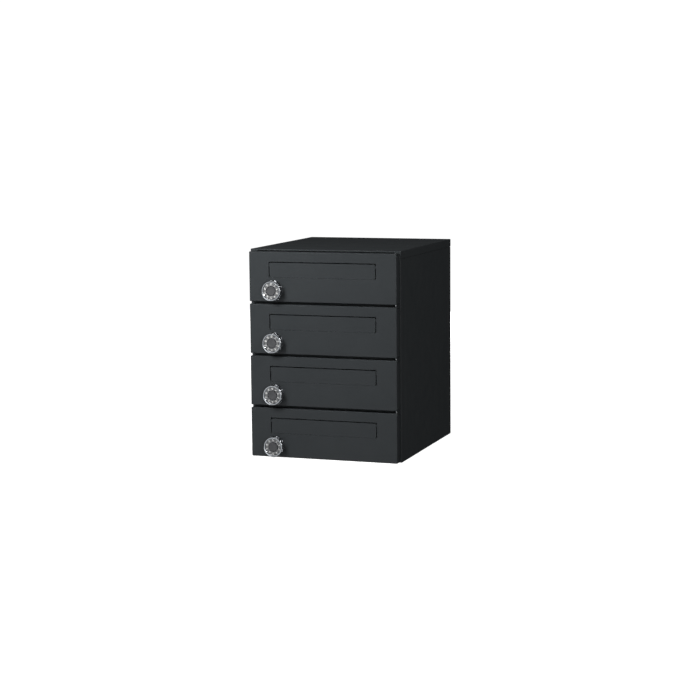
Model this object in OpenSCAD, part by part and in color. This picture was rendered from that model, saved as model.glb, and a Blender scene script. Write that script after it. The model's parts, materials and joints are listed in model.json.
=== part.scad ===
// Cluster mailbox unit: four stacked letter compartments, each with a hinged
// pan door, an inward letter flap and a combination dial lock.
// X is right, Y is back, Z is up. The origin is the centre of the cabinet's footprint.

/* [Cabinet] */
// Width over the two side panels
cab_w = 332; // [300:2:400]
// Depth from the front rim to the back of the side panels
cab_d = 368; // [300:2:420]
// Height of one compartment module
pitch = 110; // [104:1:140]
// Sheet thickness of the side and back panels
side_t = 1.2; // [1:0.1:1.5]
// Width of the rims folded inwards at the front and back of each side
rim_w = 14; // [12:1:16]
// Outer radius of the folds in the side panels
side_bend = 1.8; // [1.6:0.1:2.5]
// Sheet thickness of the shelves and the bottom panel
shelf_t = 1; // [0.8:0.1:1.2]
// Height of the lip folded down around each shelf
shelf_lip = 11.5; // [6:0.5:14]
// Height of the lip folded up around the bottom panel
bottom_lip = 7; // [4:0.5:7.5]

/* [Cap] */
// Sheet thickness of the cap
cap_t = 1; // [0.8:0.1:1.5]
// Height of the cap's side and back flanges
cap_flange = 16; // [8:1:25]
// Open seam under the cap's side flanges
cap_seam = 1.2; // [0.4:0.1:2]
// Height of the cap's front lip
cap_lip = 3; // [2.5:0.1:3.2]
// Outer radius of the folds in the cap
cap_bend = 1.6; // [1.6:0.1:2.4]

/* [Doors] */
// Gap between one door and the next
door_gap = 5; // [4.5:0.1:6]
// Step from the side of the cabinet to the edge of a door
door_margin = 3.6; // [2:0.1:5]
// Height of the lowest door's bottom edge
door_base = 0.6; // [0.5:0.1:1.6]
// Depth of the door pan
pan_d = 17; // [14:0.5:19]
// Sheet thickness of the doors
skin_t = 1; // [0.8:0.1:1.2]
// Outer radius of the folds in the doors
door_bend = 2; // [1.5:0.1:2.5]
// Space between the door's back edge and the front rim
stand_off = 1.4; // [1.3:0.1:2.5]

/* [Hinge] */
// Diameter of the hinge rod
rod_d = 3; // [2.5:0.1:3]
// Distance from the door's edge to the rod's axis
rod_inset = 4.5; // [4.4:0.05:4.5]
// Space between a hinge tab and the door flange next to it
tab_gap = 0.6; // [0.4:0.1:1]

/* [Letter slot] */
// Width of the slot in the door
slot_w = 236; // [196:2:240]
// Height of the slot in the door
slot_h = 33; // [30:0.5:36]
// Distance from the door's top edge to the slot
slot_drop = 20.8; // [15:0.1:21]
// Gap between the flap and the slot at the top and the sides
flap_gap = 2; // [1:0.1:2.5]
// Gap under the flap
flap_seam = 0.3; // [0.2:0.05:0.5]
// Sheet thickness of the flap
flap_t = 1; // [0.8:0.1:1.2]
// Depth of the stiffening fold along the flap's top edge
flap_fold = 8; // [5:0.5:10]
// Diameter of the flap's rod
flap_rod_d = 2.5; // [2:0.1:2.5]

/* [Dial lock] */
// Distance from the door's left edge to the lock's axis
lock_inset = 54.6; // [50:0.2:90]
// Height of the lock's axis over the door's bottom edge
lock_rise = 24; // [23.6:0.1:27]
// Diameter of the dial
dial_d = 43; // [35:1:44]
// Height of the dial's face over the door
dial_h = 16; // [14:0.5:20]
// Diameter of the grip disc in the middle of the dial
grip_d = 21.2; // [18:0.2:24]
// Diameter of the spindle
spindle_d = 6; // [5:0.1:6]
// Width of the lock case
case_w = 46; // [42:1:50]
// Height of the lock case
case_h = 32; // [31:0.5:32.5]
// Travel of the latch bolt
throw = 8; // [6:0.5:9]

/* [Mounting] */
// Diameter of the screw holes in the back panel
wall_hole_d = 5; // [4:0.5:8]
// Sideways distance between the screw holes
wall_hole_x = 250; // [200:5:260]
// Upright distance between the screw holes
wall_hole_z = 340; // [240:5:350]

/* [Hidden] */
$fn = 48;
boxes = 4;
eps = 0.01;
run_fit = 0.05;
seat_fit = 0.02;
slide_fit = 0.3;

PER_DOOR = ["door", "flap", "flap_rod", "flap_spring", "lock_case", "lock_cover", "lock_nut",
    "dial_collar", "dial", "dial_cap", "spindle", "code_wheels", "latch_bolt"];

// Cabinet planes
cab_h = boxes * pitch;
rim_y = -cab_d / 2;
inner_w = cab_w - 2 * side_t;
inner_front = rim_y + side_t;
inner_back = cab_d / 2 - 2 * side_t;
roof_z = cab_h - cap_t;
side_h = roof_z - (cap_bend - cap_t) - 0.1;
back_w = inner_w - 2 * cap_t - 2 * (side_bend - side_t) - 0.2;
joggle_z = cab_h - cap_flange - cap_seam;

// Doors: door 1 is the top one, and each is placed from its own bottom edge
door_w = cab_w - 2 * door_margin;
door_h = pitch - door_gap;
door_left = -door_w / 2;
front_y = rim_y - stand_off - pan_d;
function door_z(n) = door_base + (boxes - n) * pitch;
function shelf_z(n) = door_z(n) - door_gap / 2 + shelf_t / 2;

// Hinge: one rod runs through every door, on tabs folded out of the right rim
rod_x = door_w / 2 - rod_inset;
rod_y = front_y + pan_d / 2;
tab_r = rod_inset - skin_t - 0.5;
tab_t = side_t;
tab_low = skin_t + tab_gap;
tab_high = door_h - skin_t - tab_gap - tab_t;
notch_play = 0.5;
notch_reach = rod_y - 5.2;

// Letter slot and flap, measured from the door's bottom edge
slot_top = door_h - slot_drop;
slot_low = slot_top - slot_h;
flap_low = slot_low + flap_seam;
flap_top = slot_top - flap_gap;
flap_w = slot_w - 2 * flap_gap;
knuckle_r = flap_rod_d / 2 + 1.15;
pivot_y = front_y + skin_t + knuckle_r + 0.5;
knuckle_w = 20;
knuckle_out = flap_w / 2 - 17;
knuckle_x = [-knuckle_out, 0, knuckle_out];
ear_t = 1.5;
ear_x = slot_w / 2 + 1.5;
stop_tab = 2;
flap_rod_head = 0.8;

// Torsion spring of the flap
wire_r = 0.4;
coil_r = flap_rod_d / 2 + 0.15 + wire_r;
coil_turns = 6;
coil_pitch = 1.1;
coil_x = knuckle_w - knuckle_out;
leg_up = 12;
leg_down = 8;
ring_sides = 8;
ring_steps = 12;

// Lock, measured outwards or inwards from the door's front face
lock_x = door_left + lock_inset;
shank_d = 20;
collar_d = dial_d;
collar_h = 3.6;
case_wall = 1.2;
nut_t = 4;
nut_flats = 27;
case_back = stand_off + pan_d + side_t + 3.4;
bolt_t = 2.6;
bolt_front = stand_off + pan_d + side_t + 0.5;
bolt_h = 12;
bolt_tip = -cab_w / 2 + rim_w + 2 - lock_x;
bolt_end = 16;
bolt_bevel = [8, 0.8];
wheel_d = 26;
wheel_t = 1.8;
wheel_step = 3.2;
wheel_count = 3;
wheel_start = skin_t + case_wall + nut_t + 1.8;
dial_back = collar_h + 0.3;
face_w = 3.6;
ring_drop = 1.4;
cap_drop = 4;
hub_h = 10.5;
numbers = 10;

panel_color = [0.23, 0.25, 0.26];
inside_color = [0.2, 0.21, 0.22];

// ---- shared shapes ----

module rounded_rect(w, d, r) {
    square([w, d - 2 * r], center = true);
    square([w - 2 * r, d], center = true);
    for (sx = [-1, 1], sy = [-1, 1])
        translate([sx * (w / 2 - r), sy * (d / 2 - r)])
            circle(r);
}

// A strip w wide and h high whose two lower corners are rounded
module round_foot(w, h, r) {
    translate([-w / 2, r])
        square([w, h - r]);
    translate([-w / 2 + r, 0])
        square([w - 2 * r, h]);
    for (sx = [-1, 1])
        translate([sx * (w / 2 - r), r])
            circle(r);
}

// A block whose lower edges and upright corners are rounded
module bent_block(w, d, h, r) {
    intersection() {
        linear_extrude(h)
            rounded_rect(w, d, r);
        rotate([90, 0, 0])
            linear_extrude(d + 2, center = true)
                round_foot(w, h, r);
        rotate([90, 0, 90])
            linear_extrude(w + 2, center = true)
                round_foot(d, h, r);
    }
}

// A folded sheet pan with its floor at z = 0 and its walls going up to z = h
module pan(w, d, h, t, r) {
    difference() {
        bent_block(w, d, h, r);
        translate([0, 0, t])
            bent_block(w - 2 * t, d - 2 * t, h, r - t);
    }
}

module tube(r_out, r_in, len) {
    difference() {
        cylinder(r = r_out, h = len);
        translate([0, 0, -1])
            cylinder(r = r_in, h = len + 2);
    }
}

// Places children on a door's lock axis: local z points out of the door
module at_lock(n) {
    translate([lock_x, front_y, door_z(n) + lock_rise])
        rotate([90, 0, 0])
            children();
}

// ---- cabinet ----

module side_channel() {
    difference() {
        rounded_rect(2 * rim_w, cab_d, side_bend);
        rounded_rect(2 * (rim_w - side_t), cab_d - 2 * side_t, side_bend - side_t);
        translate([-2 * rim_w, -cab_d])
            square([2 * rim_w, 2 * cab_d]);
    }
}

// The sheet steps inwards under the cap, so that the cap's flange ends up flush with it
module side_sheet() {
    difference() {
        union() {
            translate([cab_w / 2 - rim_w, 0, 0])
                linear_extrude(joggle_z)
                    side_channel();
            translate([cab_w / 2 - rim_w - cap_t, 0, joggle_z - side_t])
                linear_extrude(side_h - joggle_z + side_t)
                    side_channel();
        }
        translate([0, rim_y - 1, cab_h - cap_lip - 0.1])
            cube([cab_w, side_t + 1, cap_lip + 1]);
    }
}

module left_side() {
    color(panel_color)
        mirror([1, 0, 0])
            side_sheet();
}

module hinge_tab() {
    difference() {
        union() {
            translate([rod_x, rod_y, 0])
                cylinder(r = tab_r, h = tab_t);
            translate([rod_x - tab_r, rod_y, 0])
                cube([2 * tab_r, rim_y - rod_y + side_t / 2, tab_t]);
        }
        translate([rod_x, rod_y, -1])
            cylinder(d = rod_d + 2 * seat_fit, h = tab_t + 2);
    }
}

module right_side() {
    color(panel_color) {
        side_sheet();
        for (n = [1:boxes], z = [tab_low, tab_high])
            translate([0, 0, door_z(n) + z])
                hinge_tab();
    }
}

module bottom_panel() {
    color(inside_color)
        translate([0, (inner_front + inner_back) / 2, 0])
            pan(inner_w, inner_back - inner_front, bottom_lip, shelf_t, shelf_t + 0.5);
}

module top_cap() {
    color(panel_color)
        difference() {
            translate([0, cap_t / 2, cab_h])
                rotate([180, 0, 0])
                    pan(cab_w, cab_d + cap_t, cap_flange, cap_t, cap_bend);
            translate([-cab_w, rim_y - cap_t, cab_h - cap_flange - 1])
                cube([2 * cab_w, 2 * cap_t, cap_flange + 1 - cap_lip]);
        }
}

module back_panel() {
    color(inside_color)
        difference() {
            translate([-back_w / 2, inner_back, 0])
                cube([back_w, side_t, roof_z]);
            for (sx = [-1, 1], sz = [-1, 1])
                translate([sx * wall_hole_x / 2, inner_back - 1, cab_h / 2 + sz * wall_hole_z / 2])
                    rotate([-90, 0, 0])
                        cylinder(d = wall_hole_d, h = side_t + 2);
        }
}

module shelves() {
    color(inside_color)
        for (n = [1:boxes - 1])
            translate([0, (inner_front + inner_back) / 2, shelf_z(n)])
                rotate([180, 0, 0])
                    pan(inner_w, inner_back - inner_front, shelf_lip, shelf_t, shelf_t + 0.5);
}

module hinge_rod() {
    color("silver")
        translate([rod_x, rod_y, door_base / 2])
            cylinder(d = rod_d, h = door_z(1) + door_h + 0.2 - door_base / 2);
}

module door_buffers() {
    buffer_t = stand_off - slide_fit;
    color("dimgray")
        for (n = [1:boxes], z = [12, door_h - 12])
            translate([door_left + skin_t, rim_y, door_z(n) + z])
                rotate([90, 0, 0])
                    cylinder(d = 6, h = buffer_t);
}

// ---- door ----

module door(n) {
    color(panel_color)
        translate([0, 0, door_z(n)]) {
            difference() {
                translate([0, front_y, door_h / 2])
                    rotate([-90, 0, 0])
                        pan(door_w, door_h, pan_d, skin_t, door_bend);
                door_cuts();
            }
            for (side = [0, 1])
                mirror([side, 0, 0])
                    rod_ear();
        }
}

// The slot, the lock's hole, the rod's holes and the two notches over the hinge tabs
module door_cuts() {
    translate([-slot_w / 2, front_y - 1, slot_low])
        cube([slot_w, skin_t + 2, slot_h]);
    translate([lock_x, front_y - 1, lock_rise])
        rotate([-90, 0, 0])
            cylinder(d = shank_d + 2 * seat_fit, h = skin_t + 2);
    for (z = [-1, door_h - skin_t - 1])
        translate([rod_x, rod_y, z])
            cylinder(d = rod_d + 2 * run_fit, h = skin_t + 2);
    for (z = [skin_t, tab_high - notch_play])
        translate([door_w / 2 - skin_t - door_bend, notch_reach, z])
            cube([skin_t + door_bend + 1, pan_d, tab_gap + tab_t + notch_play]);
}

module rod_ear() {
    difference() {
        translate([ear_x, front_y + skin_t - eps, flap_low - 4])
            cube([ear_t, pivot_y - front_y - skin_t + 3, 8]);
        translate([ear_x - 1, pivot_y, flap_low])
            rotate([0, 90, 0])
                cylinder(d = flap_rod_d + 2 * seat_fit, h = ear_t + 2);
    }
}

module flap(n) {
    color(panel_color)
        translate([0, 0, door_z(n)])
            difference() {
                union() {
                    flap_sheet();
                    for (x = knuckle_x)
                        translate([x, 0, 0])
                            knuckle();
                }
                translate([-slot_w / 2, pivot_y, flap_low])
                    rotate([0, 90, 0])
                        cylinder(d = flap_rod_d + 2 * run_fit, h = slot_w);
            }
}

module flap_sheet() {
    fold_y = front_y + skin_t + slide_fit;
    translate([-flap_w / 2, front_y, flap_low])
        cube([flap_w, flap_t, flap_top - flap_low]);
    translate([-flap_w / 2, front_y, flap_top - flap_t])
        cube([flap_w, flap_fold, flap_t]);
    for (side = [0, 1])
        mirror([side, 0, 0]) {
            translate([flap_w / 2 - flap_t, front_y, flap_low + 6])
                cube([flap_t, flap_fold - 2, flap_top - flap_low - 6]);
            translate([flap_w / 2 - flap_t, fold_y, flap_top - 8])
                cube([flap_t + flap_gap + stop_tab, flap_t, 6]);
        }
}

module knuckle() {
    translate([-knuckle_w / 2, pivot_y, flap_low])
        rotate([0, 90, 0])
            cylinder(r = knuckle_r, h = knuckle_w);
    translate([-knuckle_w / 2, front_y + flap_t / 2, flap_low + knuckle_r / 2])
        cube([knuckle_w, pivot_y - front_y - flap_t / 2, knuckle_r / 2]);
}

module flap_rod(n) {
    rod_half = ear_x + ear_t + 0.05;
    color("silver")
        translate([0, pivot_y, door_z(n) + flap_low])
            rotate([0, 90, 0]) {
                cylinder(d = flap_rod_d, h = 2 * rod_half, center = true);
                for (sx = [-1, 1])
                    translate([0, 0, sx * (rod_half + flap_rod_head / 2)])
                        cylinder(d = flap_rod_d + 2, h = flap_rod_head, center = true);
            }
}

// One ring of the spring's wire: a is the angle round the coil, slip moves it along the tangent
function wire_ring(a, slip) = [
    for (i = [0:ring_sides - 1])
        let (b = 360 * i / ring_sides, r = coil_r + wire_r * cos(b))
        [coil_x + coil_pitch * (a - 180) / 360 + wire_r * sin(b),
         r * cos(a) - slip * sin(a),
         r * sin(a) + slip * cos(a)]];

module flap_spring(n) {
    last = coil_turns * ring_steps;
    rings = concat(
        [wire_ring(180, -leg_up)],
        [for (k = [0:last]) wire_ring(180 + 360 * k / ring_steps, 0)],
        [wire_ring(180 + 360 * coil_turns, leg_down)]);
    ends = [[for (i = [0:ring_sides - 1]) i],
            [for (i = [ring_sides - 1:-1:0]) (last + 2) * ring_sides + i]];
    walls = [for (k = [0:last + 1], i = [0:ring_sides - 1])
        let (j = (i + 1) % ring_sides)
        [k * ring_sides + j, k * ring_sides + i,
         (k + 1) * ring_sides + i, (k + 1) * ring_sides + j]];
    color("silver")
        translate([0, pivot_y, door_z(n) + flap_low])
            polyhedron([for (ring = rings) each ring], concat(ends, walls), convexity = 10);
}

// ---- dial lock ----

module lock_case(n) {
    bolt_slot = bolt_h + 2 * slide_fit;
    color(inside_color)
        at_lock(n)
            difference() {
                translate([-case_w / 2, -case_h / 2, -case_back])
                    cube([case_w, case_h, case_back - skin_t]);
                translate([-case_w / 2 + case_wall, -case_h / 2 + case_wall, -case_back - 1])
                    cube([case_w - 2 * case_wall, case_h - 2 * case_wall,
                          case_back + 1 - skin_t - case_wall]);
                translate([0, 0, -skin_t - case_wall - 1])
                    cylinder(d = shank_d + 2 * seat_fit, h = case_wall + 2);
                translate([-case_w / 2 - 1, -bolt_slot / 2, -case_back - 1])
                    cube([case_wall + 2, bolt_slot, case_back + 1 - bolt_front + slide_fit]);
            }
}

module lock_cover(n) {
    color("silver")
        at_lock(n)
            difference() {
                translate([-case_w / 2, -case_h / 2, -case_back - case_wall])
                    cube([case_w, case_h, case_wall]);
                translate([0, 0, -case_back - case_wall - 1])
                    cylinder(d = spindle_d + 2 * run_fit, h = case_wall + 2);
            }
}

module lock_nut(n) {
    color("silver")
        at_lock(n)
            translate([0, 0, -skin_t - case_wall - nut_t])
                difference() {
                    cylinder(d = nut_flats / cos(30), h = nut_t, $fn = 6);
                    translate([0, 0, -1])
                        cylinder(d = shank_d + 2 * seat_fit, h = nut_t + 2);
                }
}

module dial_collar(n) {
    shank_len = skin_t + case_wall + nut_t + 0.8;
    color("silver")
        at_lock(n)
            difference() {
                union() {
                    cylinder(d = collar_d, h = collar_h);
                    translate([0, 0, -shank_len])
                        cylinder(d = shank_d, h = shank_len + 1);
                }
                translate([0, 0, -shank_len - 1])
                    cylinder(d = spindle_d + 2 * run_fit, h = shank_len + collar_h + 2);
                translate([0, collar_d / 2, -1])
                    cylinder(d = 1.6, h = collar_h + 2);
            }
}

// Half outline of the dial: radius and height over the door
module dial_profile() {
    rim = dial_d / 2;
    ring_z = dial_h - ring_drop;
    pocket_z = dial_h - cap_drop;
    hub = spindle_d / 2 + 4;
    polygon([
        [spindle_d / 2 + seat_fit, dial_back],
        [hub, dial_back],
        [hub, pocket_z - 2],
        [rim - 4.2, pocket_z - 2],
        [rim - 6.2, dial_back],
        [rim - 5, dial_back],
        [rim - 0.8, dial_h - 4.6],
        [rim, dial_h - 3.8],
        [rim, dial_h - 1.4],
        [rim - 1.2, dial_h],
        [rim - face_w, dial_h],
        [rim - face_w - 0.8, ring_z],
        [grip_d / 2 + 0.4, ring_z],
        [grip_d / 2 + 0.4, pocket_z],
        [0, pocket_z],
        [0, hub_h],
        [spindle_d / 2 + seat_fit, hub_h]]);
}

module dial(n) {
    color("gainsboro")
        at_lock(n)
            rotate_extrude($fn = 96)
                dial_profile();
}

module dial_cap(n) {
    notch_r = 1.2;
    color("dimgray")
        at_lock(n)
            translate([0, 0, dial_h - cap_drop])
                difference() {
                    cylinder(d = grip_d, h = cap_drop - 0.5);
                    for (i = [0:numbers - 1])
                        rotate([0, 0, 90 + 360 * i / numbers])
                            translate([grip_d / 2, 0, 1])
                                cylinder(r = notch_r, h = cap_drop, $fn = 24);
                }
}

module spindle(n) {
    tail = case_back + case_wall;
    color("silver")
        at_lock(n)
            translate([0, 0, -tail])
                cylinder(d = spindle_d, h = tail + hub_h);
}

module code_wheels(n) {
    color("goldenrod")
        at_lock(n)
            for (i = [0:wheel_count - 1])
                translate([0, 0, -wheel_start - wheel_t - i * wheel_step])
                    difference() {
                        tube(wheel_d / 2, spindle_d / 2 + run_fit, wheel_t);
                        rotate([0, 0, 40 + 95 * i])
                            translate([wheel_d / 2, 0, wheel_t / 2])
                                cube([5, 3, wheel_t + 2], center = true);
                    }
}

// The bevel on the side of the rim draws the door shut as the bolt slides behind it
module latch_bolt(n) {
    slot_r = spindle_d / 2 + slide_fit;
    color("silver")
        at_lock(n)
            translate([0, 0, -bolt_front - bolt_t])
                difference() {
                    rotate([90, 0, 0])
                        linear_extrude(bolt_h, center = true)
                            polygon([
                                [bolt_tip, 0],
                                [bolt_end, 0],
                                [bolt_end, bolt_t],
                                [bolt_tip + bolt_bevel[0], bolt_t],
                                [bolt_tip, bolt_t - bolt_bevel[1]]
                            ]);
                    for (x = [0, throw])
                        translate([x, 0, -1])
                            cylinder(r = slot_r, h = bolt_t + 2);
                    translate([0, -slot_r, -1])
                        cube([throw, 2 * slot_r, bolt_t + 2]);
                }
}

left_side();
right_side();
bottom_panel();
top_cap();
back_panel();
shelves();
hinge_rod();
door_buffers();
for (n = [1:boxes]) {
    door(n);
    flap(n);
    flap_rod(n);
    flap_spring(n);
    lock_case(n);
    lock_cover(n);
    lock_nut(n);
    dial_collar(n);
    dial(n);
    dial_cap(n);
    spindle(n);
    code_wheels(n);
    latch_bolt(n);
}
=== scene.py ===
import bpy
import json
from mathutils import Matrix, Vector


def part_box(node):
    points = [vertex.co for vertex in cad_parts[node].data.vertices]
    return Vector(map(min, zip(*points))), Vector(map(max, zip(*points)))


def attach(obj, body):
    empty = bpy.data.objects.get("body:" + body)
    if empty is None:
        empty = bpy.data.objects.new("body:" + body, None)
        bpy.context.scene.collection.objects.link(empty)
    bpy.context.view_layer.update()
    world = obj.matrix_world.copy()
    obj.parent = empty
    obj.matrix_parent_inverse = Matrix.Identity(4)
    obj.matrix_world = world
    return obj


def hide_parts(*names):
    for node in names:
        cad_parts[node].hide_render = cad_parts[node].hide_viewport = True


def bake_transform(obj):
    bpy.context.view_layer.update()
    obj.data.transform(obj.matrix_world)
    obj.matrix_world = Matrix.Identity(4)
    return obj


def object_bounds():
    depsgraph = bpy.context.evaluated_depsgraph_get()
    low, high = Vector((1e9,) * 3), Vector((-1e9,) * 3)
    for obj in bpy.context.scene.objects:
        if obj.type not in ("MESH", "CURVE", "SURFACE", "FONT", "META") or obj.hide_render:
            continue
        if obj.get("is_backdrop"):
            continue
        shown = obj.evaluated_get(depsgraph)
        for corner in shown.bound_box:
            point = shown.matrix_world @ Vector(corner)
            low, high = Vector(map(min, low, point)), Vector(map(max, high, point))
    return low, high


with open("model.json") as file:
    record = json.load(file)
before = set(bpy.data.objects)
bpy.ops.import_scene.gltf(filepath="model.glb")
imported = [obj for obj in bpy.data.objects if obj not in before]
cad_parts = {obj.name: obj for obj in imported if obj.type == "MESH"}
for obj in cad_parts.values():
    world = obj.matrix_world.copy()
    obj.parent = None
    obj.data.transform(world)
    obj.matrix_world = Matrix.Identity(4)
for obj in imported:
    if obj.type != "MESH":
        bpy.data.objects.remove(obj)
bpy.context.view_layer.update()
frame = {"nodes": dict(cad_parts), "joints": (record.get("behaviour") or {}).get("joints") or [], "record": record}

# %% [markdown]
# # A cluster mailbox unit
# The unit is a block of four letter compartments in folded sheet steel. Each compartment has a
# pan-shaped door, an inward letter flap and a combination dial. The sheet metal, the hinges and
# the lock come ready-made as the frame that was loaded above, in metres. This lesson gives every
# surface its finish, and builds the small pieces whose looks need more than their working shape:
# the dials, their numbers and grips, the index marks and the flap springs.

# %% Tools and measures
import json
import math

import bmesh
import bpy
from mathutils import Matrix, Vector

MM = 0.001
nodes = frame["nodes"]
joints = {joint["name"]: joint for joint in frame["joints"]}
doors = sorted(int(name[5:]) for name in nodes if name.startswith("door_") and name[5:].isdigit())

# %% [markdown]
# ## Turning a bmesh into a piece
# Most new pieces take the same last steps once their mesh is moved to its place: set which
# edges look sharp, give it a material, and let it ride on the body that carries it. A helper
# keeps those steps the same for all of them. The object itself stays at the origin, so that
# patterns read from Object coordinates keep their size and place.

# %% A helper for finished pieces
def finished_piece(name, mesh_in_work, body, material, sharp_angle=35):
    bmesh.ops.recalc_face_normals(mesh_in_work, faces=mesh_in_work.faces)
    mesh = bpy.data.meshes.new(name)
    mesh_in_work.to_mesh(mesh)
    mesh_in_work.free()
    mesh.shade_smooth()
    mesh.set_sharp_from_angle(angle=math.radians(sharp_angle))
    mesh.materials.append(material)
    piece = bpy.data.objects.new(name, mesh)
    bpy.context.scene.collection.objects.link(piece)
    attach(piece, body)
    return piece


# %% [markdown]
# ## Building blocks for the finishes
# A real finish is never one flat colour: paint has a fine skin, plated steel has a grain, and
# both have small differences in gloss. All of them can be made from the same three blocks, which
# are noise in real millimetres, a blend between two near colours, and a bump. They read Object
# coordinates, because the whole unit shares one origin and the pattern then runs on unbroken
# from one sheet to the next.

# %% Blocks for a node material
NOISE_LOW, NOISE_HIGH = 0.3, 0.7


def new_finish(name):
    material = bpy.data.materials.new(name)
    material.use_nodes = True
    tree = material.node_tree
    shader = tree.nodes["Principled BSDF"]
    return material, tree, shader


def pattern_space(tree, stretch=(1, 1, 1)):
    coordinates = tree.nodes.new("ShaderNodeTexCoord")
    mapping = tree.nodes.new("ShaderNodeMapping")
    mapping.inputs["Scale"].default_value = stretch
    tree.links.new(coordinates.outputs["Object"], mapping.inputs["Vector"])
    return mapping.outputs["Vector"]


def noise(tree, space, size_mm, detail=3.0):
    texture = tree.nodes.new("ShaderNodeTexNoise")
    texture.inputs["Scale"].default_value = 1 / (size_mm * MM)
    texture.inputs["Detail"].default_value = detail
    tree.links.new(space, texture.inputs["Vector"])
    return texture.outputs["Fac"]


def spread(tree, factor, low, high):
    """Maps the useful middle of a noise onto low to high."""
    remap = tree.nodes.new("ShaderNodeMapRange")
    remap.inputs["From Min"].default_value = NOISE_LOW
    remap.inputs["From Max"].default_value = NOISE_HIGH
    remap.inputs["To Min"].default_value = low
    remap.inputs["To Max"].default_value = high
    tree.links.new(factor, remap.inputs["Value"])
    return remap.outputs["Result"]


def two_colors(tree, factor, first, second):
    ramp = tree.nodes.new("ShaderNodeValToRGB")
    ramp.color_ramp.elements[0].position = NOISE_LOW
    ramp.color_ramp.elements[1].position = NOISE_HIGH
    ramp.color_ramp.elements[0].color = (*first, 1)
    ramp.color_ramp.elements[1].color = (*second, 1)
    tree.links.new(factor, ramp.inputs["Fac"])
    return ramp.outputs["Color"]


def bump(tree, shader, height, depth_mm, strength=1.0):
    node = tree.nodes.new("ShaderNodeBump")
    node.inputs["Strength"].default_value = strength
    node.inputs["Distance"].default_value = depth_mm * MM
    tree.links.new(height, node.inputs["Height"])
    tree.links.new(node.outputs["Normal"], shader.inputs["Normal"])


# %% [markdown]
# ## Powder coat
# The sheets are coated with an anthracite powder that melts into a satin skin. Up close it has
# an orange-peel relief about half a millimetre across, and over a whole panel its tone wanders
# by a few percent. The relief is a bump from fine noise, and the wandering tone is a slow noise
# between two greys that lie close together, slightly on the blue side.

# %% Powder coat on the outside and inside
def powder_coat(name, dark, light, gloss_low, gloss_high):
    material, tree, shader = new_finish(name)
    space = pattern_space(tree)
    tone = two_colors(tree, noise(tree, space, 90, detail=4), dark, light)
    tree.links.new(tone, shader.inputs["Base Color"])
    gloss = spread(tree, noise(tree, space, 25, detail=5), gloss_low, gloss_high)
    tree.links.new(gloss, shader.inputs["Roughness"])
    shader.inputs["Specular IOR Level"].default_value = 0.4
    bump(tree, shader, noise(tree, space, 0.6, detail=2), depth_mm=0.012, strength=0.35)
    return material


body_paint = powder_coat(
    "anthracite_powder_coat", (0.036, 0.0405, 0.0435), (0.040, 0.0445, 0.0475), 0.42, 0.5)
inner_paint = powder_coat(
    "anthracite_inner_coat", (0.034, 0.038, 0.041), (0.040, 0.044, 0.047), 0.5, 0.6)
print("paints:", body_paint.name, inner_paint.name)

# %% [markdown]
# ## Metals of the hinges and the lock
# Rods, nuts, covers and bolts are zinc-plated steel: a cool grey with a soft cloudy bloom and a
# faint drawn grain. The lock case is a zinc casting, duller and rougher. The wheels are turned
# brass. The dial is polished chrome, which is almost a mirror, so its finish is mostly a very
# low roughness with a few hand-polishing traces in it.

# %% Metals
def metal(name, dark, light, cloud_mm, gloss_low, gloss_high, grain=(1, 1, 1), relief_mm=0.004):
    material, tree, shader = new_finish(name)
    space = pattern_space(tree, grain)
    tone = two_colors(tree, noise(tree, space, cloud_mm, detail=4), dark, light)
    tree.links.new(tone, shader.inputs["Base Color"])
    shader.inputs["Metallic"].default_value = 1.0
    gloss = spread(tree, noise(tree, space, cloud_mm / 3, detail=5), gloss_low, gloss_high)
    tree.links.new(gloss, shader.inputs["Roughness"])
    bump(tree, shader, noise(tree, space, cloud_mm / 10, detail=3), depth_mm=relief_mm, strength=0.5)
    return material


plated_steel = metal("zinc_plated_steel", (0.46, 0.47, 0.49), (0.58, 0.59, 0.60), 6, 0.24, 0.36)
spring_wire = metal("drawn_spring_wire", (0.40, 0.40, 0.41), (0.52, 0.52, 0.53), 2, 0.22, 0.34)
cast_zinc = metal("cast_zinc", (0.36, 0.37, 0.38), (0.46, 0.47, 0.48), 5, 0.42, 0.58, relief_mm=0.03)
brass = metal("turned_brass", (0.62, 0.46, 0.20), (0.75, 0.57, 0.27), 4, 0.2, 0.32, grain=(1, 6, 1))
chrome = metal("polished_chrome", (0.66, 0.67, 0.69), (0.72, 0.73, 0.75), 8, 0.05, 0.11, relief_mm=0.001)
print("metals:", [finish.name for finish in (plated_steel, spring_wire, cast_zinc, brass, chrome)])

# %% [markdown]
# ## Plastics, rubber and dial paint
# The grip disc is a moulded plastic with the fine grain of a spark-eroded tool. The ring under
# the numbers is a grey satin lacquer, the numbers are filled with white, the ticks are printed
# black, the pocket behind the grip disc is painted black as painted shade for its notches, and
# the buffers behind the doors are rubber. They differ mostly in tone, gloss and the size of
# their relief.

# %% Plastics, rubber and dial paint
MOULD_GRAIN = 0.3


def moulded(name, dark, light, relief_mm, gloss_low, gloss_high):
    material, tree, shader = new_finish(name)
    space = pattern_space(tree)
    tone = two_colors(tree, noise(tree, space, 7, detail=4), dark, light)
    tree.links.new(tone, shader.inputs["Base Color"])
    gloss = spread(tree, noise(tree, space, 3, detail=3), gloss_low, gloss_high)
    tree.links.new(gloss, shader.inputs["Roughness"])
    bump(tree, shader, noise(tree, space, MOULD_GRAIN, detail=2), depth_mm=relief_mm, strength=0.6)
    return material


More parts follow.
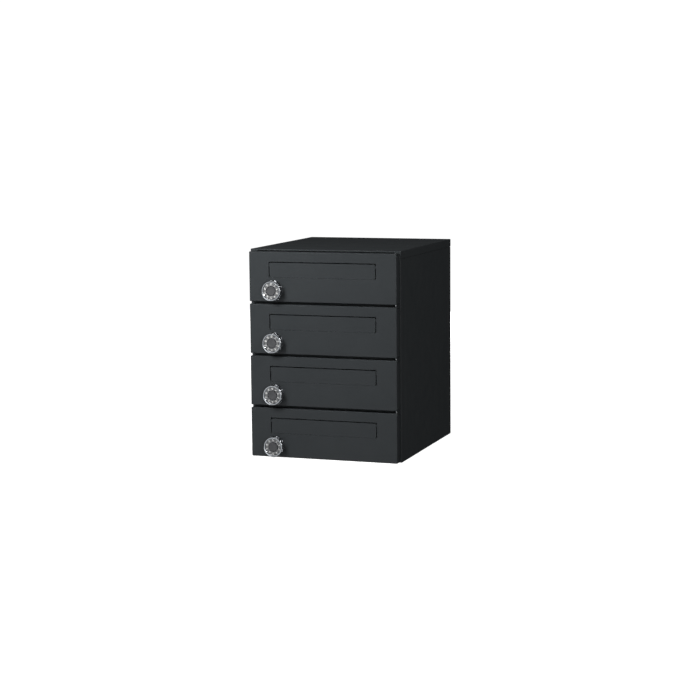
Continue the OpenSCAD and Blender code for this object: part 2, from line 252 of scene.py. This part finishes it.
grip_plastic = moulded("grip_plastic", (0.085, 0.086, 0.09), (0.105, 0.106, 0.11), 0.02, 0.45, 0.6)
ring_lacquer = moulded("ring_lacquer", (0.17, 0.172, 0.176), (0.22, 0.222, 0.226), 0.004, 0.35, 0.5)
# Black print for the ticks, and painted shade for the pocket under the grip disc.
tick_print_and_pocket_shade = moulded("tick_print_and_pocket_shade", (0.008, 0.008, 0.009), (0.016, 0.016, 0.017), 0.004, 0.5, 0.7)
number_white = moulded("number_white", (0.72, 0.72, 0.70), (0.82, 0.82, 0.80), 0.004, 0.4, 0.55)
buffer_rubber = moulded("buffer_rubber", (0.014, 0.014, 0.014), (0.024, 0.024, 0.024), 0.02, 0.6, 0.8)
plastics = (grip_plastic, ring_lacquer, tick_print_and_pocket_shade, number_white, buffer_rubber)
print("plastics:", [finish.name for finish in plastics])

# %% [markdown]
# ## Dressing the ready-made nodes
# Each node of the frame names the material slot that it belongs to. One table from slot to
# finish dresses all of them, so two nodes that are the same stuff can't end up different.

# %% Give each node its finish
FINISHES = {
    "body_paint": body_paint,
    "inner_paint": inner_paint,
    "plated_steel": plated_steel,
    "spring_steel": spring_wire,
    "case_zinc": cast_zinc,
    "dial_chrome": chrome,
    "grip_plastic": grip_plastic,
    "wheel_brass": brass,
    "buffer_rubber": buffer_rubber,
}
for part in frame["record"]["subparts"]:
    node = nodes[part["node"]]
    node.data.materials.clear()
    node.data.materials.append(FINISHES[part["material_slot"]])

# %% [markdown]
# ## Where a dial stands
# A dial turns about a line that points straight out of the door. It is easiest to model it
# lying on its back, with its face up along Z, and to stand it on the door afterwards. The joint
# of the frame gives the point on the door's skin, and a quarter turn about X points Z forwards.

# %% The place of each dial
def dial_place(number):
    axis_point = Vector(joints[f"dial_turn_{number}"]["pos_m"])
    return Matrix.Translation(axis_point) @ Matrix.Rotation(math.radians(90), 4, "X")


def face_height(number):
    return joints[f"dial_turn_{number}"]["pos_m"][1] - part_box(f"dial_{number}")[0].y


DIAL_R = (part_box("dial_1")[1].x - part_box("dial_1")[0].x) / 2
GRIP_R = (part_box("dial_cap_1")[1].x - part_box("dial_cap_1")[0].x) / 2
DIAL_H = face_height(1)
DIAL_BACK = joints["dial_turn_1"]["pos_m"][1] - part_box("dial_1")[1].y
RIM_W = 3.6 * MM
RING_DROP = 1.4 * MM
POCKET_DROP = 4 * MM
print(f"dial radius {DIAL_R:.4f}, face {DIAL_H:.4f} above the door, grip radius {GRIP_R:.4f}")

# %% [markdown]
# ## The chrome dial
# The dial is a shell turned on a lathe: a fluted flank to grip, a polished rim round the face,
# and a step down to the number ring. A lathe part is best made the way a lathe works, so half of
# its outline is drawn and spun once round. The flutes come after the spin: every second face of
# the flank is inset and pushed in, which an outline can't give. The pocket that takes the grip
# disc is painted black as painted shade, so the notches of the grip disc read dark.

# %% Spin the dial and cut its flutes
SPIN_STEPS = 120
FLANK_LOW = DIAL_H - 3.8 * MM
FLANK_HIGH = DIAL_H - 1.5 * MM
FLUTE_EDGE, FLUTE_DEPTH = 0.1 * MM, 0.3 * MM


def lathe(outline, steps):
    shape = bmesh.new()
    corners = [shape.verts.new((radius, 0, height)) for radius, height in outline]
    sides = [shape.edges.new(pair) for pair in zip(corners, corners[1:])]
    sides.append(shape.edges.new((corners[-1], corners[0])))
    bmesh.ops.spin(shape, geom=corners + sides, cent=(0, 0, 0), axis=(0, 0, 1),
                   angle=math.tau, steps=steps, use_merge=True)
    bmesh.ops.remove_doubles(shape, verts=shape.verts, dist=1e-6)
    return shape


def dial_shell():
    hub_r = 7 * MM
    bore_r = 3.02 * MM
    pocket_r = GRIP_R + 0.4 * MM
    outline = [
        (bore_r, DIAL_BACK), (hub_r, DIAL_BACK), (hub_r, DIAL_H - 6 * MM),
        (DIAL_R - 4.2 * MM, DIAL_H - 6 * MM), (DIAL_R - 6.2 * MM, DIAL_BACK),
        (DIAL_R - 5 * MM, DIAL_BACK),
        (DIAL_R - 0.8 * MM, DIAL_H - 4.6 * MM), (DIAL_R - 0.2 * MM, DIAL_H - 4.2 * MM),
        (DIAL_R, FLANK_LOW), (DIAL_R, FLANK_HIGH), (DIAL_R - 0.1 * MM, DIAL_H - 1.1 * MM),
        (DIAL_R - 0.45 * MM, DIAL_H - 0.5 * MM), (DIAL_R - 1.1 * MM, DIAL_H - 0.12 * MM),
        (DIAL_R - 1.8 * MM, DIAL_H),
        (DIAL_R - RIM_W + 0.4 * MM, DIAL_H), (DIAL_R - RIM_W, DIAL_H - 0.25 * MM),
        (DIAL_R - RIM_W - 0.8 * MM, DIAL_H - RING_DROP),
        (pocket_r, DIAL_H - RING_DROP), (pocket_r, DIAL_H - POCKET_DROP),
        (bore_r, DIAL_H - POCKET_DROP),
    ]
    shell = lathe(outline, SPIN_STEPS)
    bmesh.ops.recalc_face_normals(shell, faces=shell.faces)
    flank = [face for face in shell.faces
             if FLANK_LOW < face.calc_center_median().z < FLANK_HIGH
             and face.calc_center_median().xy.length > DIAL_R - 0.2 * MM]
    flank.sort(key=lambda face: math.atan2(face.calc_center_median().y, face.calc_center_median().x))
    bmesh.ops.inset_individual(shell, faces=flank[::2], thickness=FLUTE_EDGE, depth=-FLUTE_DEPTH,
                               use_even_offset=True)
    # Painted shade: the pocket's walls and floor under the grip disc get the black material.
    for face in shell.faces:
        place = face.calc_center_median()
        if place.xy.length < pocket_r + 0.6 * MM and place.z > DIAL_H - POCKET_DROP - 0.01 * MM:
            face.material_index = 1
    return shell, len(flank)


for number in doors:
    shell, flank_faces = dial_shell()
    shell.transform(dial_place(number))
    piece = finished_piece(f"dial_shell_{number}", shell, f"dial_body_{number}", chrome, 30)
    # The second slot is the black painted shade of the pocket.
    piece.data.materials.append(tick_print_and_pocket_shade)
    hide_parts(f"dial_{number}")
print("flank faces", flank_faces, "and dial faces", len(piece.data.polygons))

# %% [markdown]
# ## The number ring
# A lacquered washer lies in the step behind the rim and carries the numbers. Being lacquered
# separately, it is its own piece: a thin ring with a softened upper edge. A short outline spun
# round gives it, as with the shell.

# %% The washer under the numbers
RING_TOP = DIAL_H - RING_DROP + 0.35 * MM
RING_OUT = DIAL_R - RIM_W - 1.0 * MM
RING_IN = GRIP_R + 0.6 * MM


def number_ring():
    floor_z = DIAL_H - RING_DROP
    soft = 0.12 * MM
    outline = [
        (RING_IN, floor_z), (RING_OUT, floor_z), (RING_OUT, RING_TOP - soft),
        (RING_OUT - soft, RING_TOP), (RING_IN + soft, RING_TOP), (RING_IN, RING_TOP - soft),
    ]
    return lathe(outline, SPIN_STEPS)


for number in doors:
    ring = number_ring()
    ring.transform(dial_place(number))
    piece = finished_piece(f"dial_ring_{number}", ring, f"dial_body_{number}", ring_lacquer)
print(f"ring from {RING_IN:.4f} to {RING_OUT:.4f}")

# %% [markdown]
# ## Numbers and ticks
# The ten numbers are filled with white paint and stand round the ring with their feet towards
# the middle. They start as text, because a font already has good shapes for them, and become a
# mesh that is a tenth of a millimetre thick. A short black tick marks each half step.

# %% Ten numbers and their ticks
NUMBERS = 10
NUMBER_SIZE = 6.6 * MM
STROKE_SWELL = 0.2 * MM
PAINT_T = 0.1 * MM
TICK_SHAPE = Matrix.Diagonal((1.0 * MM, 1.9 * MM, PAINT_T, 1))
TICK_R = RING_OUT - 1.1 * MM


def number_mesh(text):
    curve = bpy.data.curves.new("number_outline", "FONT")
    curve.body = text
    curve.size = NUMBER_SIZE
    curve.align_x = "CENTER"
    curve.align_y = "CENTER"
    curve.extrude = PAINT_T / 2
    curve.offset = STROKE_SWELL
    curve.resolution_u = 3
    carrier = bpy.data.objects.new("number_outline", curve)
    bpy.context.scene.collection.objects.link(carrier)
    bpy.context.view_layer.update()
    evaluated = carrier.evaluated_get(bpy.context.evaluated_depsgraph_get())
    mesh = bpy.data.meshes.new_from_object(evaluated)
    bpy.data.objects.remove(carrier)
    bpy.data.curves.remove(curve)
    return mesh


def add_moved(target, mesh, move):
    before = len(target.verts)
    target.from_mesh(mesh)
    target.verts.ensure_lookup_table()
    bmesh.ops.transform(target, matrix=move, verts=target.verts[before:])


def around(step, radius, height):
    turn = Matrix.Rotation(-math.tau * step / NUMBERS, 4, "Z")
    return turn @ Matrix.Translation((0, radius, height))


number_meshes = [number_mesh(str(value)) for value in range(NUMBERS)]
middle_r = (RING_IN + RING_OUT) / 2
paint_z = RING_TOP + PAINT_T / 2
for number in doors:
    marks = bmesh.new()
    for value, mesh in enumerate(number_meshes):
        add_moved(marks, mesh, around(value, middle_r, paint_z))
        tick = bmesh.ops.create_cube(marks, size=1)["verts"]
        bmesh.ops.transform(marks, verts=tick, matrix=around(value + 0.5, TICK_R, paint_z) @ TICK_SHAPE)
        for face in {face for corner in tick for face in corner.link_faces}:
            face.material_index = 1
    bmesh.ops.remove_doubles(marks, verts=marks.verts, dist=1e-6)
    marks.transform(dial_place(number))
    piece = finished_piece(f"dial_numbers_{number}", marks, f"dial_body_{number}", number_white)
    piece.data.materials.append(tick_print_and_pocket_shade)
print("number faces per dial", sum(len(mesh.polygons) for mesh in number_meshes))

# %% [markdown]
# ## The grip disc
# The disc in the middle has ten finger notches round its edge and a slightly hollow face. It
# begins as a spun disc. The notches are made by pulling the edge inwards along a curve that
# repeats ten times, and a bevel then softens the upper edge as a mould would.

# %% The notched grip disc
NOTCH_DEPTH = 2.4 * MM
NOTCH_SHARE = 0.5
GRIP_STEPS = 200
GRIP_TOP = DIAL_H - 0.5 * MM
DISH = 0.35 * MM


def notch_pull(angle):
    """0 between the notches and 1 in the middle of one; a notch takes NOTCH_SHARE of its tenth."""
    share = (angle - math.radians(90)) * NUMBERS / math.tau % 1
    distance = min(share, 1 - share) * 2
    return max(0.0, 1 - (distance / NOTCH_SHARE) ** 2)


def grip_disc():
    foot = DIAL_H - POCKET_DROP
    outline = [(0, foot), (GRIP_R, foot), (GRIP_R, GRIP_TOP), (GRIP_R * 0.8, GRIP_TOP),
               (GRIP_R * 0.62, GRIP_TOP - DISH * 0.7), (GRIP_R * 0.3, GRIP_TOP - DISH),
               (0, GRIP_TOP - DISH * 1.05)]
    disc = lathe(outline, GRIP_STEPS)
    for corner in disc.verts:
        radius = corner.co.xy.length
        if radius > GRIP_R * 0.7 and corner.co.z > foot - 1e-6:
            pull = NOTCH_DEPTH * notch_pull(math.atan2(corner.co.y, corner.co.x))
            corner.co.xy *= (radius - pull) / radius
    rim = [edge for edge in disc.edges
           if all(abs(v.co.z - GRIP_TOP) < 1e-6 and v.co.xy.length > GRIP_R * 0.85 for v in edge.verts)]
    bmesh.ops.bevel(disc, geom=rim, offset=0.35 * MM, segments=3, affect="EDGES", profile=0.5, material=-1)
    return disc


for number in doors:
    disc = grip_disc()
    disc.transform(dial_place(number))
    piece = finished_piece(f"grip_disc_{number}", disc, f"dial_body_{number}", grip_plastic, 40)
    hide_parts(f"dial_cap_{number}")
print("grip disc faces", len(piece.data.polygons))

# %% [markdown]
# ## The index mark
# The fixed collar behind the dial has a small groove at the top, and the number under it is the
# one that is set. The groove is filled with white paint. A thin bar with softened ends, laid in
# the groove, is enough.

# %% White bars in the index grooves
BAR_W, BAR_T = 0.8 * MM, 0.3 * MM
BAR_SINK = 0.55 * MM
BAR_SHORTER = 0.4 * MM

for number in doors:
    low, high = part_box(f"dial_collar_{number}")
    collar_r = (high.x - low.x) / 2
    collar_h = joints[f"dial_turn_{number}"]["pos_m"][1] - low.y
    bar = bmesh.new()
    bmesh.ops.create_cube(bar, size=1)
    bmesh.ops.transform(bar, verts=bar.verts,
                        matrix=Matrix.Translation((0, collar_r - BAR_SINK, collar_h / 2))
                        @ Matrix.Diagonal((BAR_W, BAR_T, collar_h - BAR_SHORTER, 1)))
    bmesh.ops.bevel(bar, geom=bar.edges[:], offset=0.08 * MM, segments=2, affect="EDGES",
                    profile=0.5, material=-1)
    bar.transform(dial_place(number))
    piece = finished_piece(f"index_mark_{number}", bar, f"door_body_{number}", number_white)
print(f"index mark at radius {collar_r:.4f}")

# %% [markdown]
# ## The flap springs
# A torsion spring sits round each flap's rod. One leg rests on the flap and the other on the
# door, and the coil winds up as the flap goes in. The wire's section is one small circle, which
# is extruded for the first leg, spun along the axis for the coil, and extruded again for the
# second leg.

# %% Coil the springs
WIRE_R = 0.4 * MM
COIL_TURNS = 6
COIL_STEPS = 20
WIRE_SIDES = 12


def pull_loop(wire, ring, move):
    """Extrudes the ring of vertices along move and returns the new ring with its edges."""
    rim = [edge for edge in wire.edges if edge.verts[0] in ring and edge.verts[1] in ring]
    grown = bmesh.ops.extrude_edge_only(wire, edges=rim)["geom"]
    fresh = [item for item in grown if isinstance(item, bmesh.types.BMVert)]
    bmesh.ops.translate(wire, verts=fresh, vec=move)
    edges = [item for item in grown if isinstance(item, bmesh.types.BMEdge)
             and item.verts[0] in fresh and item.verts[1] in fresh]
    return fresh + edges


def flap_spring(number):
    pivot = Vector(joints[f"flap_swing_{number}"]["pos_m"])
    low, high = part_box(f"flap_spring_{number}")
    coil_r = pivot.y - low.y - WIRE_R
    first_x = low.x + WIRE_R
    travel = high.x - low.x - 2 * WIRE_R
    wire = bmesh.new()
    start = Vector((first_x, pivot.y - coil_r, high.z))
    circle = bmesh.ops.create_circle(wire, segments=WIRE_SIDES, radius=WIRE_R,
                                     matrix=Matrix.Translation(start))
    tip = circle["verts"]
    bmesh.ops.contextual_create(wire, geom=tip)
    loop = pull_loop(wire, tip, Vector((0, 0, pivot.z - high.z)))
    turns = bmesh.ops.spin(wire, geom=loop, cent=pivot, axis=(1, 0, 0),
                           dvec=(travel / (COIL_TURNS * COIL_STEPS), 0, 0),
                           angle=math.tau * COIL_TURNS, steps=COIL_TURNS * COIL_STEPS)
    last = [item for item in turns["geom_last"] if isinstance(item, bmesh.types.BMVert)]
    end = pull_loop(wire, last, Vector((0, 0, low.z - pivot.z)))
    bmesh.ops.contextual_create(wire, geom=[item for item in end if isinstance(item, bmesh.types.BMVert)])
    bmesh.ops.remove_doubles(wire, verts=wire.verts, dist=1e-6)
    return wire, first_x, travel


for number in doors:
    wire, first_x, travel = flap_spring(number)
    bmesh.ops.recalc_face_normals(wire, faces=wire.faces)
    mesh = bpy.data.meshes.new(f"torsion_spring_{number}")
    wire.to_mesh(mesh)
    wire.free()
    mesh.shade_smooth()
    mesh.materials.append(spring_wire)
    spring = bpy.data.objects.new(f"torsion_spring_{number}", mesh)
    bpy.context.scene.collection.objects.link(spring)
    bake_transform(spring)
    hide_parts(f"flap_spring_{number}")
print("spring faces", len(mesh.polygons))

# %% [markdown]
# ## Floor and backdrop
# A product shot stands on a seamless sweep: a pale floor that curves up into a wall, so that no
# horizon shows. Spinning the outline of the sweep once round gives a bowl that looks the same
# from every side. It glows a little, as a light table does, and it is kept out of reflections
# so that the dark paint keeps its contrast.

# %% The pale sweep
SWEEP_R, SWEEP_H, BEND_R = 7.0, 6.0, 2.0
BEND_STEPS, BOWL_STEPS = 12, 96
FLOOR_SINK = 0.3 * MM


def sweep_outline():
    turns = (math.radians(90) * step / BEND_STEPS for step in range(BEND_STEPS + 1))
    bend = [(SWEEP_R - BEND_R + BEND_R * math.sin(turn), BEND_R - BEND_R * math.cos(turn))
            for turn in turns]
    return [(0.0, 0.0)] + bend + [(SWEEP_R, SWEEP_H)]


sweep = bmesh.new()
corners = [sweep.verts.new((radius, 0, height)) for radius, height in sweep_outline()]
sides = [sweep.edges.new(pair) for pair in zip(corners, corners[1:])]
bmesh.ops.spin(sweep, geom=corners + sides, cent=(0, 0, 0), axis=(0, 0, 1),
               angle=math.tau, steps=BOWL_STEPS, use_merge=True)
bmesh.ops.remove_doubles(sweep, verts=sweep.verts, dist=1e-5)
bmesh.ops.reverse_faces(sweep, faces=sweep.faces)
floor_mesh = bpy.data.meshes.new("studio_sweep")
sweep.to_mesh(floor_mesh)
sweep.free()
floor_mesh.shade_smooth()
floor_mesh.transform(Matrix.Translation((0, 0, -FLOOR_SINK)))
pale, tree, shader = new_finish("pale_sweep")
space = pattern_space(tree)
mottle = two_colors(tree, noise(tree, space, 400), (0.86, 0.86, 0.86), (0.9, 0.9, 0.9))
tree.links.new(mottle, shader.inputs["Base Color"])
shader.inputs["Roughness"].default_value = 0.9
shader.inputs["Specular IOR Level"].default_value = 0.0
shader.inputs["Emission Color"].default_value = (1, 1, 1, 1)
shader.inputs["Emission Strength"].default_value = 1.0
floor_mesh.materials.append(pale)
studio_sweep = bpy.data.objects.new("studio_sweep", floor_mesh)
bpy.context.scene.collection.objects.link(studio_sweep)
studio_sweep.visible_glossy = False
studio_sweep.visible_diffuse = False
studio_sweep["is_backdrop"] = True

# %% [markdown]
# ## Light
# A soft box close in front, above and to the left, lights the doors, and being close it fades
# towards the lowest one. A taller one in front on the right draws the bright line along the
# folds, and a thin one overhead picks out the upper bends. The room itself is dim, so that the
# side stays the darkest face, with one paler patch in front and one low on the left, which the
# chrome of the dials mirrors. Each patch has a direction, the nearness to it at which the patch
# begins and is full, and its dim and bright strength; the two are added. A last box behind keeps
# the back panel readable.

# %% Soft boxes and the room
def soft_box(name, place, aim, width, height, power):
    light = bpy.data.lights.new(name, "AREA")
    light.shape = "RECTANGLE"
    light.size = width
    light.size_y = height
    light.energy = power
    lamp = bpy.data.objects.new(name, light)
    bpy.context.scene.collection.objects.link(lamp)
    lamp.location = place
    lamp.rotation_euler = (Vector(aim) - Vector(place)).to_track_quat("-Z", "Y").to_euler()
    return lamp


ROOM_DARK = 0.042
PATCHES = (
    ((-0.36, -0.92, -0.1), 0.82, 1.0, ROOM_DARK, 0.6),
    ((-0.74, -0.42, -0.52), 0.91, 0.98, 0.0, 2.2),
)
low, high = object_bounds()
middle = (low + high) / 2
soft_box("key_box", (-0.42, -0.95, 0.85), middle, 0.4, 0.3, 9.0).visible_glossy = False
soft_box("edge_box", (2.0, -3.1, 0.7), middle, 0.7, 1.4, 18)
soft_box("top_box", (-0.3, -0.5, 2.65), middle, 1.6, 0.15, 4.6)
soft_box("side_box", (1.83, -0.74, 1.65), middle, 0.35, 0.35, 9.5)
soft_box("back_box", (-0.3, 2.6, 0.5), middle, 1.2, 0.6, 24).visible_glossy = False
world = bpy.data.worlds.new("studio_room")
world.use_nodes = True
sky = world.node_tree
direction = sky.nodes.new("ShaderNodeTexCoord")
pale_patches = sky.nodes.new("ShaderNodeMath")
for socket, (towards, edge, core, dim, bright) in zip(pale_patches.inputs, PATCHES):
    nearness = sky.nodes.new("ShaderNodeVectorMath")
    nearness.operation = "DOT_PRODUCT"
    nearness.inputs[1].default_value = towards
    patch = sky.nodes.new("ShaderNodeMapRange")
    patch.interpolation_type = "SMOOTHSTEP"
    patch.inputs["From Min"].default_value = edge
    patch.inputs["From Max"].default_value = core
    patch.inputs["To Min"].default_value = dim
    patch.inputs["To Max"].default_value = bright
    sky.links.new(direction.outputs["Generated"], nearness.inputs[0])
    sky.links.new(nearness.outputs["Value"], patch.inputs["Value"])
    sky.links.new(patch.outputs["Result"], socket)
sky.links.new(pale_patches.outputs["Value"], sky.nodes["Background"].inputs["Strength"])
sky.nodes["Background"].inputs["Color"].default_value = (0.93, 0.97, 1.0, 1)
bpy.context.scene.world = world
bpy.context.scene.view_settings.view_transform = "Standard"

# %% [markdown]
# ## Camera
# The camera stands a little to the right of the doors and slightly above them, far away with a
# long lens, so that the upright edges stay nearly parallel.

# %% The camera
CAMERA_PLACE = (1.2817, -3.7001, 0.7213)
HEADING, TILT, ROLL = (math.radians(angle) for angle in (19.247, -7.480, -0.5))
camera_data = bpy.data.cameras.new("camera")
camera_data.sensor_width = 36
camera_data.lens = 92.86
camera = bpy.data.objects.new("camera", camera_data)
bpy.context.scene.collection.objects.link(camera)
camera.matrix_world = (Matrix.Translation(CAMERA_PLACE) @ Matrix.Rotation(HEADING, 4, "Z")
                       @ Matrix.Rotation(math.radians(90) + TILT, 4, "X") @ Matrix.Rotation(ROLL, 4, "Z"))
bpy.context.scene.camera = camera
